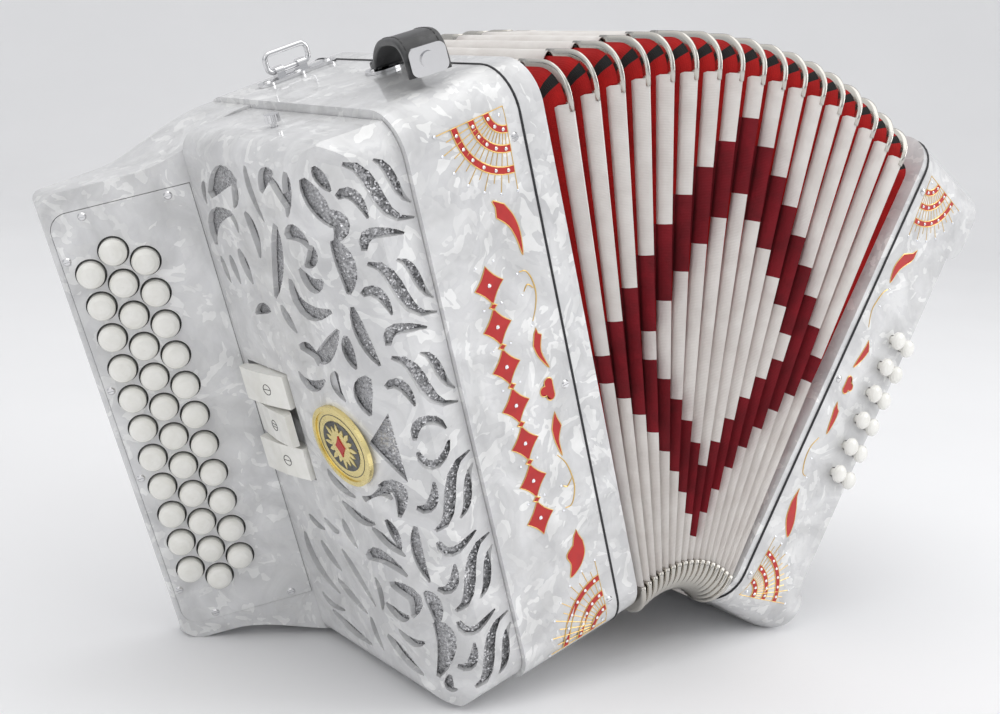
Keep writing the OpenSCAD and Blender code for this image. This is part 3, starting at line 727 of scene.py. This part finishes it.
def stone(parts, x, z, r=0.95, base=0.0):
    """A cut stone: girdle, sloped facets and a small table."""
    rows = []
    for radius, height in ((r, base), (r, base + 0.25 * r), (0.55 * r, base + 0.75 * r)):
        rows += [(x + radius * math.cos(k * math.pi / 4), z + radius * math.sin(k * math.pi / 4),
                  height) for k in range(8)]
    faces = grid(3, 8, loop=True) + [tuple(range(16, 24))]
    parts.put(front(np.array(rows)), faces, INLAY_GEM)


FAN_STONES = {4.5: 1, 10.5: 3, 19.5: 5, 29.5: 6}
FAN_ARCS = [r for r, count in FAN_STONES.items() if count > 1]
FAN_ARC_HALF = 1.7
FAN_RAYS = 12
LONG_RAY, SHORT_RAY = 39.5, 35.5


def fan(parts, apex, start, end):
    """Three red arcs round a corner, with gold rays and stones between them."""
    for r in FAN_ARCS:
        outlined(parts, arc(*apex, r - FAN_ARC_HALF, start, end, 14)
                 + arc(*apex, r + FAN_ARC_HALF, end, start, 14))
    for k in range(FAN_RAYS + 1):
        a = math.radians(start + (end - start) * k / FAN_RAYS)
        reach = LONG_RAY if k % 2 == 0 else SHORT_RAY
        inner = 0 if k in (0, FAN_RAYS) else 12.5
        line = [(apex[0] + d * math.cos(a), apex[1] + d * math.sin(a), 0.02)
                for d in np.linspace(inner, reach, 8)]
        parts.put(*tube(front(np.array(line)), 0.24, 6), INLAY_GOLD)
        if k % 2 == 0:
            stone(parts, apex[0] + (reach + 0.8) * math.cos(a),
                  apex[1] + (reach + 0.8) * math.sin(a), 0.8)
    for r, count in FAN_STONES.items():
        for k in range(count):
            a = math.radians(start + (end - start) * (k + 0.5) / count)
            stone(parts, apex[0] + r * math.cos(a), apex[1] + r * math.sin(a),
                  base=RAISED if r in FAN_ARCS else 0)


def curl_line(parts, points, stones):
    """A thin gold tendril that swells in its middle, with small stones at its ends."""
    path = smooth_line([(x, z, 0.05) for x, z in points], 6)
    radii = [0.2 + 0.2 * math.sin(math.pi * t) for t in np.linspace(0.05, 0.95, len(path))]
    parts.put(*tube(front(np.array(path)), radii, 6), INLAY_GOLD)
    for x, z in stones:
        stone(parts, x, z, 0.7)


def flame(points):
    """A horn shape from its notched mouth to its tip; corners stay sharp at the notch."""
    mouth, rest = points[:3], points[3:]
    return [np.array(p, float) for p in mouth] + smooth_line(rest, 4)


def lozenge(cx, cz, half_w, half_h):
    """A diamond with slightly hollow sides."""
    tips = [(cx, cz + half_h), (cx + half_w, cz), (cx, cz - half_h), (cx - half_w, cz)]
    out = []
    for (ax, az), (bx, bz) in zip(tips, tips[1:] + tips[:1]):
        for t in np.linspace(0, 1, 5)[:-1]:
            pull = 0.12 * math.sin(math.pi * t)
            out.append((ax + (bx - ax) * t + (cx - (ax + bx) / 2) * pull,
                        az + (bz - az) * t + (cz - (az + bz) / 2) * pull))
    return out


def trefoil(cx, cz, r):
    """Three round leaves pointing away from a stem on the right."""
    out = []
    for centre, start in ((90, -20), (180, 70), (270, 160)):
        x = cx + 0.75 * r * math.cos(math.radians(centre))
        z = cz + 0.75 * r * math.sin(math.radians(centre))
        out += arc(x, z, 0.62 * r, start, start + 220, 9)
    return out


# Outlines of the flames and lines of the tendrils, as (x, z) on the closed instrument.
FLAMES_TREBLE = [
    [(-73.8, 255), (-75, 258.5), (-74.1, 258.6), (-68.5, 255.2), (-64.4, 248), (-62.6, 239),
     (-63.8, 228), (-65.6, 237), (-68.6, 244.4), (-74.4, 250.2)],
    [(-67, 188), (-65.2, 190.6), (-64.6, 187.6), (-62.7, 186.2), (-64.9, 178), (-62, 168),
     (-67.2, 176), (-68.9, 182.5)],
    [(-63.7, 141.2), (-64.4, 144.6), (-66.2, 141.6), (-68.2, 136.5), (-67.7, 129), (-65.2, 120.4),
     (-65.2, 129.5), (-62, 136.2)],
    [(-68.6, 74.8), (-66.3, 77.4), (-65.6, 74.4), (-63.6, 69.6), (-63.9, 62.6), (-68.6, 56.4),
     (-75.8, 53.4), (-73.9, 60), (-75.6, 66.2), (-70.4, 70)],
]
FLAMES_BASS = [
    [(59.8, 248.6), (62.6, 252.4), (62.7, 246.4), (61.2, 243.4), (54.4, 234.4), (51.2, 224),
     (48.6, 234), (52.2, 244.2)],
    [(57.6, 184.2), (55.2, 186.4), (55, 182.8), (54.2, 178.6), (52.2, 167), (57, 174),
     (59.6, 181)],
    [(54.2, 140.8), (52, 143.6), (51.6, 139.4), (52.6, 134.6), (55, 123.6), (57, 133),
     (56.6, 139.6)],
    [(53.6, 82), (52.8, 86.4), (51.6, 81.8), (51, 77), (53, 67), (61.2, 58), (61.4, 67),
     (57.4, 76)],
]
TENDRILS_TREBLE = [
    ([(-68, 220.8), (-64.3, 220), (-61.6, 215), (-60.8, 207.8), (-62.6, 201), (-66, 194.6)],
     [(-69.4, 220.4), (-67, 192.6)]),
    ([(-67.6, 210.6), (-64.8, 213.2), (-61.6, 210.2)], [(-69, 209.4)]),
    ([(-68.2, 122), (-64.2, 116), (-62, 108), (-61.8, 99.6), (-65.4, 92.4), (-70, 92.2)],
     [(-71.4, 91.4)]),
    ([(-62.2, 106), (-66, 103), (-68.4, 104.4)], [(-69.8, 105)]),
]
TENDRILS_BASS = [
    ([(52, 220), (49, 216), (46.8, 209), (46.2, 202), (50, 193)], [(53.4, 220.6), (51.4, 208)]),
    ([(50, 119), (46.4, 112), (46.2, 104), (49.4, 96), (53.4, 95)], [(54.8, 94.6), (51.6, 106)]),
]
CHAIN_X = -86.4
CHAIN_LOW = 95
CHAIN_PITCH = 21
CHAIN_LINKS = 7
BASS_TREFOIL_X = 54


def scrolls(parts, flames, tendrils):
    """The flames and tendrils of one front face."""
    for points in flames:
        outlined(parts, flame(points))
    for points, stones in tendrils:
        curl_line(parts, points, stones)


def lozenge_chain(parts):
    """Lozenges down the front with small links and pairs of stones between them."""
    for k in range(CHAIN_LINKS):
        x = CHAIN_X + 0.6 * math.sin(k)
        z = CHAIN_LOW + CHAIN_PITCH * k
        between = z + CHAIN_PITCH / 2
        outlined(parts, lozenge(x, z, 8.6, 9.6))
        stone(parts, x, z, 1.1, base=RAISED)
        for side in (-1, 1):
            stone(parts, x + side * 5.4, between, 0.75)
        if k < CHAIN_LINKS - 1:
            outlined(parts, lozenge(x + 0.2, between, 2.4, 1.9))


def treble_inlays():
    parts = Parts()
    fan(parts, (-57.5, 298.6), 183, 268)
    fan(parts, (-57.2, 14.5), 177, 92)
    scrolls(parts, FLAMES_TREBLE, TENDRILS_TREBLE)
    outlined(parts, trefoil(-64.6, 157.4, 4.4))
    lozenge_chain(parts)
    obj = parts.make("treble_inlays", INLAY_LOOKS, crease=30)
    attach(obj, "treble")


def bass_inlays():
    parts = Parts()
    fan(parts, (45.7, 295), 275, 356)
    fan(parts, (46.4, 14.5), 84, 12)
    scrolls(parts, FLAMES_BASS, TENDRILS_BASS)
    mirrored = [(2 * BASS_TREFOIL_X - x, z) for x, z in trefoil(BASS_TREFOIL_X, 156, 4.2)]
    outlined(parts, mirrored[::-1])
    obj = parts.make("bass_inlays", INLAY_LOOKS, FAN, crease=30)
    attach(obj, "bass")


treble_inlays()
bass_inlays()


# ---------------------------------------------------------------------------
# Piping and screws of the bellows frames
# ---------------------------------------------------------------------------
SEAL_HALF_Y = HALF_D - 0.1
SEAL_HALF_Z = 155.4
SEAL_MID = 159.5
SEAL_R = 0.75
BASS_SEAL_X = 38.9
SCREW_X = 44
SCREW_ZS = (27.3, 155.6, 283)


def seal_bead(name, x, turn, body):
    """Round black piping over the joint between a case and its bellows frame."""
    path = []
    for sy, sz, start in ((1, 1, 0), (-1, 1, 90), (-1, -1, 180), (1, -1, 270)):
        corner = arc(sy * (SEAL_HALF_Y - CASE_R), SEAL_MID + sz * (SEAL_HALF_Z - CASE_R), CASE_R,
                     start, start + 90, 9)
        path += [(x, y, z) for y, z in corner]
    parts = Parts()
    parts.put(*tube(path, SEAL_R, 8, loop=True))
    obj = parts.make(name, [SEAL], turn)
    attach(obj, body)


def bass_screws():
    """Dome screws along the bass frame, front and back."""
    parts = Parts()
    profile = [(2.3, 0), (2.2, 0.5), (1.6, 1.0), (0.8, 1.25), (0.3, 1.3)]
    for z in SCREW_ZS:
        for side in (-1, 1):
            rows = [(SCREW_X + r * math.cos(a), side * (HALF_D + h), z + r * math.sin(a))
                    for r, h in profile for a in np.linspace(0, 2 * math.pi, 17)[:-1]]
            faces = grid(len(profile), 16, loop=True)
            faces.append(tuple(range(16 * (len(profile) - 1), 16 * len(profile))))
            parts.put(rows, faces)
    obj = parts.make("bass_screws", [CHROME], FAN)
    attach(obj, "bass")


bass_screws()
seal_bead("treble_seal", TREBLE_IN + 0.6, 0, "treble")
seal_bead("bass_seal", BASS_SEAL_X, FAN, "bass")


# ---------------------------------------------------------------------------
# Badge, switches and fingerboard details
# ---------------------------------------------------------------------------
BADGE_AT = (-46.5, 157.5)
BADGE_FIELD = (21.7, 18.2)
BADGE_RING = (19.4, 16.4)
BADGE_DISC = (15.6, 13.2)
PETALS = 16
PETAL_FLATNESS = 0.86
SWITCH_Y = 15.5
SWITCH_ZS = (176.5, 156, 135.5)
SWITCH_TILT = (6, -6, 6)
KEY_PITCH = 17.5
ROW_PITCH = 13.9
BUTTON_ROWS = ((11, 250), (12, 258.75), (11, 250))


def around(steps):
    """Angles once round a circle."""
    return np.linspace(0, 2 * math.pi, steps + 1)[:-1]


def ellipse(half_axes, steps=48):
    """(u, v) points of an ellipse."""
    return [(half_axes[0] * math.cos(a), half_axes[1] * math.sin(a)) for a in around(steps)]


def on_badge(rows):
    """(y, z, height) rows from the badge's centre, height standing out towards -X."""
    return np.stack([COVER_X - rows[:, 2], BADGE_AT[0] + rows[:, 0],
                     BADGE_AT[1] + rows[:, 1]], 1)


def badge_face():
    """Dark enamel with gold petals round a red lozenge: a plain rosette, no lettering."""
    ink, gold, red = range(3)
    parts = Parts()
    parts.put(*slab(ellipse(BADGE_FIELD), 1.3, 1.6, on_badge), gold)
    parts.put(*slab(ellipse(BADGE_DISC), 1.5, 1.8, on_badge), ink)
    for k in range(PETALS):
        a = 2 * math.pi * k / PETALS
        reach = 7.4 if k % 2 == 0 else 5.328
        petal = [(7.0 + reach * t, 1.35 * math.sin(math.pi * t ** 0.8))
                 for t in np.linspace(0, 1, 8)]
        petal += [(u, -v) for u, v in petal[-2:0:-1]]
        turned = [(u * math.cos(a) - v * math.sin(a),
                   PETAL_FLATNESS * (u * math.sin(a) + v * math.cos(a))) for u, v in petal]
        parts.put(*slab(turned, 1.7, 2.1, on_badge), gold)
    ring = [(u, v, 1.55) for u, v in ellipse(BADGE_RING)]
    parts.put(*tube(on_badge(np.array(ring)), 0.25, 8, loop=True), ink)
    parts.put(*slab(lozenge(0, 0, 4.4, 5.8), 2.1, 2.6, on_badge), red)
    obj = parts.make("badge_face", [INK, BRASS, RED], crease=30)
    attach(obj, "treble")


badge_face()


def switch_mark(k):
    """A plain ring with a bar, or two bars on the middle one, let into the face of rocker k."""
    parts = Parts()
    tilt = math.radians(SWITCH_TILT[k])

    def on_rocker(rows):
        rows = np.asarray(rows, float)
        x = -7.3 + 0.4 * np.abs(rows[:, 0]) / 9.5 + 0.05
        y = rows[:, 0]
        return np.stack([COVER_X + 1.5 + x * math.cos(tilt) - y * math.sin(tilt),
                         SWITCH_Y + x * math.sin(tilt) + y * math.cos(tilt),
                         SWITCH_ZS[k] + rows[:, 1]], 1)

    ring = [(-3.5 + y, z) for y, z in ellipse((2.9, 2.9), 32)]
    parts.put(*tube(on_rocker(ring), 0.26, 6, loop=True))
    for z in (-0.8, 0.8) if k == 1 else (0,):
        bar = [(y, z) for y in np.linspace(-6.2, -0.8, 6)]
        parts.put(*tube(on_rocker(bar), 0.24, 6))
    obj = parts.make(f"switch_mark_{k + 1}", [INK])
    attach(obj, f"switch_{k + 1}")


for switch_number in range(3):
    switch_mark(switch_number)


def button_places():
    """Where each treble button stands, along the board and up it."""
    for r, (count, top) in enumerate(BUTTON_ROWS):
        for k in range(count):
            yield ROW_PITCH * r, top - KEY_PITCH * k


def button_surrounds():
    """Black rings in the button holes, a painted shade for the dark gap round each button, and felt
    washers on the stems behind them.
    """
    shade_rings, washers = Parts(), Parts()
    steps = 32
    for e, z in button_places():
        for parts, loop in (
            # black rings lining each hole: painted shade in the gap round the button
            (shade_rings, ((7.86, 3.1), (7.86, 5.9), (7.4, 5.9), (7.4, 3.1))),
            (washers, ((9.0, 11.6), (9.0, 13.2), (2.7, 13.2), (2.7, 11.6))),
        ):
            rows = [(e + r * math.cos(a), n, z + r * math.sin(a))
                    for r, n in loop for a in around(steps)]
            last = 3 * steps
            faces = grid(4, steps, loop=True) + [
                (last + k, last + (k + 1) % steps, (k + 1) % steps, k) for k in range(steps)]
            parts.put(on_board(rows), faces)
    for parts, name, look in ((shade_rings, "hole_shade_rings", INK), (washers, "button_felts", FELT)):
        obj = parts.make(name, [look])
        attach(obj, "treble")


button_surrounds()


# ---------------------------------------------------------------------------
# Leather: the bellows strap on top and the hand strap on the bass side
# ---------------------------------------------------------------------------
def strap_section(half_w, thick, rounding=1.1):
    """Cross-section of a flat strap, (across, up) with rounded edges, anticlockwise."""
    side, top = half_w - rounding, thick - rounding
    out = []
    for cx, cz, start in ((side, rounding, -90), (side, top, 0), (-side, top, 90),
                          (-side, rounding, 180)):
        out += arc(cx, cz, rounding, start, start + 90, 4)
    return out


STITCH = 2.2
STITCH_PITCH = 3.2
STITCH_INSET = 2.4
STRAP_TURN = math.radians(-90 - 18)
STRAP_AT = (-57, -8)
BASS_OUT = 93.3
BELLOWS_STRAP = [
    (0, 1.2), (5, 1.4), (9, 3), (13, 7), (20, 11.5), (29, 15), (40, 17), (50, 18),
    (58, 17.8), (63, 15.4), (65.4, 11), (66, 4.5),
]
HAND_STRAP = [
    (46 + 214 * t, 0.3 + 17 * math.sin(math.pi * t) ** 0.8) for t in np.linspace(0, 1, 15)
]


def leather_strap(name, line, half_w, thick, lift, body, turn, node):
    """A strap along a side-view line of (along, up) points, stitched along both edges."""
    path = np.array(smooth_line(line, 5))
    slope = np.gradient(path, axis=0)
    slope /= np.linalg.norm(slope, axis=1)[:, None]
    up = np.stack([-slope[:, 1], slope[:, 0]], 1)
    section = strap_section(half_w, thick)
    m, last = len(section), len(section) * (len(path) - 1)
    parts = Parts()
    rows = [(p[0] + n[0] * h, w, p[1] + n[1] * h) for p, n in zip(path, up) for w, h in section]
    faces = grid(len(path), m, loop=True) + [tuple(range(m)), tuple(range(last, last + m))]
    parts.put(lift(rows), faces)
    travel = np.concatenate([[0], np.cumsum(np.linalg.norm(np.diff(path, axis=0), axis=1))])
    for side in (-1, 1):
        for s in np.arange(STITCH_INSET, travel[-1] - 3, STITCH_PITCH):
            stitch = []
            for d in np.linspace(0, STITCH, 5):
                q = [np.interp(s + d, travel, path[:, k]) for k in (0, 1)]
                n = [np.interp(s + d, travel, up[:, k]) for k in (0, 1)]
                h = thick - 0.12 + 0.22 * math.sin(math.pi * d / STITCH)
                stitch.append((q[0] + n[0] * h, side * (half_w - STITCH_INSET), q[1] + n[1] * h))
            parts.put(*tube(lift(stitch), 0.32, 6), 1)
    obj = parts.make(name, [LEATHER, THREAD], turn, crease=40)
    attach(obj, body)
    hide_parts(node)


def on_bellows_strap(rows):
    """(along, across, up) rows on the treble case's top, turned as the strap lies."""
    p = np.asarray(rows, float).reshape(-1, 3)
    c, s = math.cos(STRAP_TURN), math.sin(STRAP_TURN)
    return on_top(np.stack([p[:, 0] * c - p[:, 1] * s, p[:, 0] * s + p[:, 1] * c,
                            p[:, 2] + 0.5], 1), *STRAP_AT)


def on_hand_strap(rows):
    """(along, across, up) rows on the outer side of the bass case."""
    p = np.asarray(rows, float).reshape(-1, 3)
    return np.stack([BASS_OUT + p[:, 2], p[:, 1], p[:, 0]], 1)


leather_strap("bellows_strap", BELLOWS_STRAP, 10.5, 3.6, on_bellows_strap, "treble", 0,
              "strap_leather")
leather_strap("hand_strap", HAND_STRAP, 32, 3.2, on_hand_strap, "bass", FAN, "bass_strap")


# ---------------------------------------------------------------------------
# Floor, light and camera: the camera in millimetres on the closed instrument, the rest in metres
# ---------------------------------------------------------------------------
CAMERA_AT = (-429.3, -596.4, 432.8)
CAMERA_AHEAD = (0.5191, 0.7667, -0.3778)
CAMERA_UP = (0.3859, 0.1841, 0.9040)
LENS = 49.56
SENSOR = 36
SWEEP_FRONT = -30.0
SWEEP_BACK = 2.6
SWEEP_R = 1.6
SWEEP_TOP = 5.0
SWEEP_HALF = 30.0
AIM = (0, 0, 0.15)


def sweep():
    """A paper sweep: the floor runs back from the camera and curves up into the backdrop."""
    mat = shader("studio_paper", (0.83, 0.83, 0.84), Roughness=0.55)
    paper = noise(mat, spot(mat), 3, 3).outputs["Fac"]
    join(mat, ramp(mat, paper, (0.3, (0.82, 0.82, 0.83)), (0.7, (0.84, 0.84, 0.85))),
         "Base Color")
    away = np.array([CAMERA_AHEAD[0] + 0.1, CAMERA_AHEAD[1]])
    away /= np.linalg.norm(away)
    across = np.array([away[1], -away[0]])
    line = [(SWEEP_FRONT, 0.0)] + arc(SWEEP_BACK, SWEEP_R, SWEEP_R, -90, 0, 24)
    line.append((SWEEP_BACK + SWEEP_R, SWEEP_TOP))
    points = [(*(away * d + across * w), h) for d, h in line for w in (-SWEEP_HALF, SWEEP_HALF)]
    piece("studio_sweep", points, grid(len(line), 2), [mat])


def softbox(name, at, size, power):
    """A rectangular area light that points at the instrument."""
    light = bpy.data.lights.new(name, "AREA")
    light.shape = "RECTANGLE"
    light.size, light.size_y = size
    light.energy = power
    obj = bpy.data.objects.new(name, light)
    obj.location = at
    obj.rotation_euler = (Vector(AIM) - Vector(at)).to_track_quat("-Z", "Y").to_euler()
    bpy.context.scene.collection.objects.link(obj)


def camera():
    """The camera, placed with the instrument."""
    data = bpy.data.cameras.new("camera")
    data.lens = LENS
    data.sensor_width = SENSOR
    obj = bpy.data.objects.new("camera", data)
    eye, ahead, above = (Vector(p) for p in place([
        CAMERA_AT,
        np.add(CAMERA_AT, np.multiply(CAMERA_AHEAD, 1000)),
        np.add(CAMERA_AT, np.multiply(CAMERA_UP, 1000)),
    ]))
    back = (eye - ahead).normalized()
    up = (above - eye).normalized()
    right = up.cross(back)
    turn = Matrix((right, up, back)).transposed()
    obj.matrix_world = Matrix.Translation(eye) @ turn.to_4x4()
    bpy.context.scene.collection.objects.link(obj)
    bpy.context.scene.camera = obj


def room():
    """Pale studio surroundings, brighter overhead than at eye level."""
    world = bpy.data.worlds.new("studio")
    world.use_nodes = True
    background = world.node_tree.nodes["Background"]
    height = add(world, "ShaderNodeSeparateXYZ", {
        "Vector": add(world, "ShaderNodeTexCoord").outputs["Generated"],
    }).outputs["Z"]
    tone = ramp(world, height, (0.0, (0.42, 0.43, 0.45)), (0.3, (0.66, 0.67, 0.69)),
                (0.75, (1.0, 1.0, 1.0)))
    world.node_tree.links.new(tone, background.inputs["Color"])
    background.inputs["Strength"].default_value = 1.0
    bpy.context.scene.world = world


sweep()
softbox("top_box", (0.1, -0.3, 1.9), (1.8, 1.8), 9)
softbox("right_box", (1.6, -1.4, 1.0), (0.9, 1.4), 14)
softbox("left_box", (-1.9, -0.6, 0.9), (0.8, 1.4), 3)
room()
bpy.context.scene.view_settings.view_transform = "Standard"
camera()
